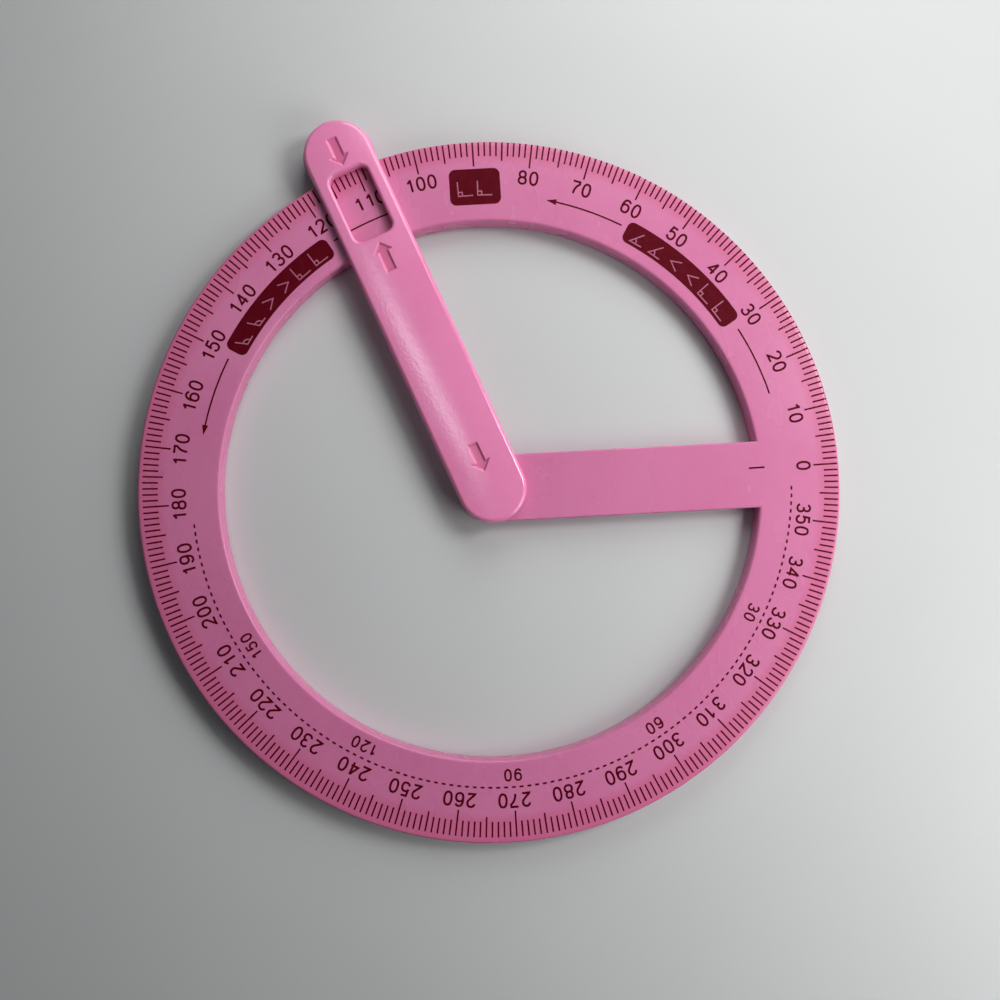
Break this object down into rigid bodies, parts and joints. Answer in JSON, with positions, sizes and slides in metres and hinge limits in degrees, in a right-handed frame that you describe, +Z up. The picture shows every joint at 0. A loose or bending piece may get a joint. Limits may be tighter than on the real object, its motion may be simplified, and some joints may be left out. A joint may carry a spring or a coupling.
{
  "type": "angle finder with arms",
  "caption": "Flat full-circle degree scale with a fixed arm and a swing arm that turns about its centre, reads the scale through a window and hooks round the rim.",
  "frame": {"origin": "on the pivot's axis, in the plane of the underside that the ring lies on", "axes": "+X along the fixed arm, which is the scale's zero direction; +Z up through the printed face, along the pivot's axis; the scale counts from +X towards +Y"},
  "size_m": [0.1, 0.1037, 0.0046],
  "materials": {
    "ring_plastic": "smooth semi-gloss pink moulding with a dark red printed scale",
    "arm_plastic": "semi-gloss pink moulding with a fine mottled grain",
    "cap_plastic": "semi-gloss pink moulding",
    "keeper_plastic": "semi-gloss pink moulding"
  },
  "bodies": {
    "ring": {"scale_ring": "ring_plastic"},
    "arm": {"swing_arm": "arm_plastic", "pivot_cap": "cap_plastic", "rim_keeper": "keeper_plastic"}
  },
  "joints": [
    {"name": "arm_swing", "type": "hinge", "parent": "ring", "child": "arm", "pos_m": [0, 0, 0], "axis": [0, 0, 1], "continuous": true}
  ]
}
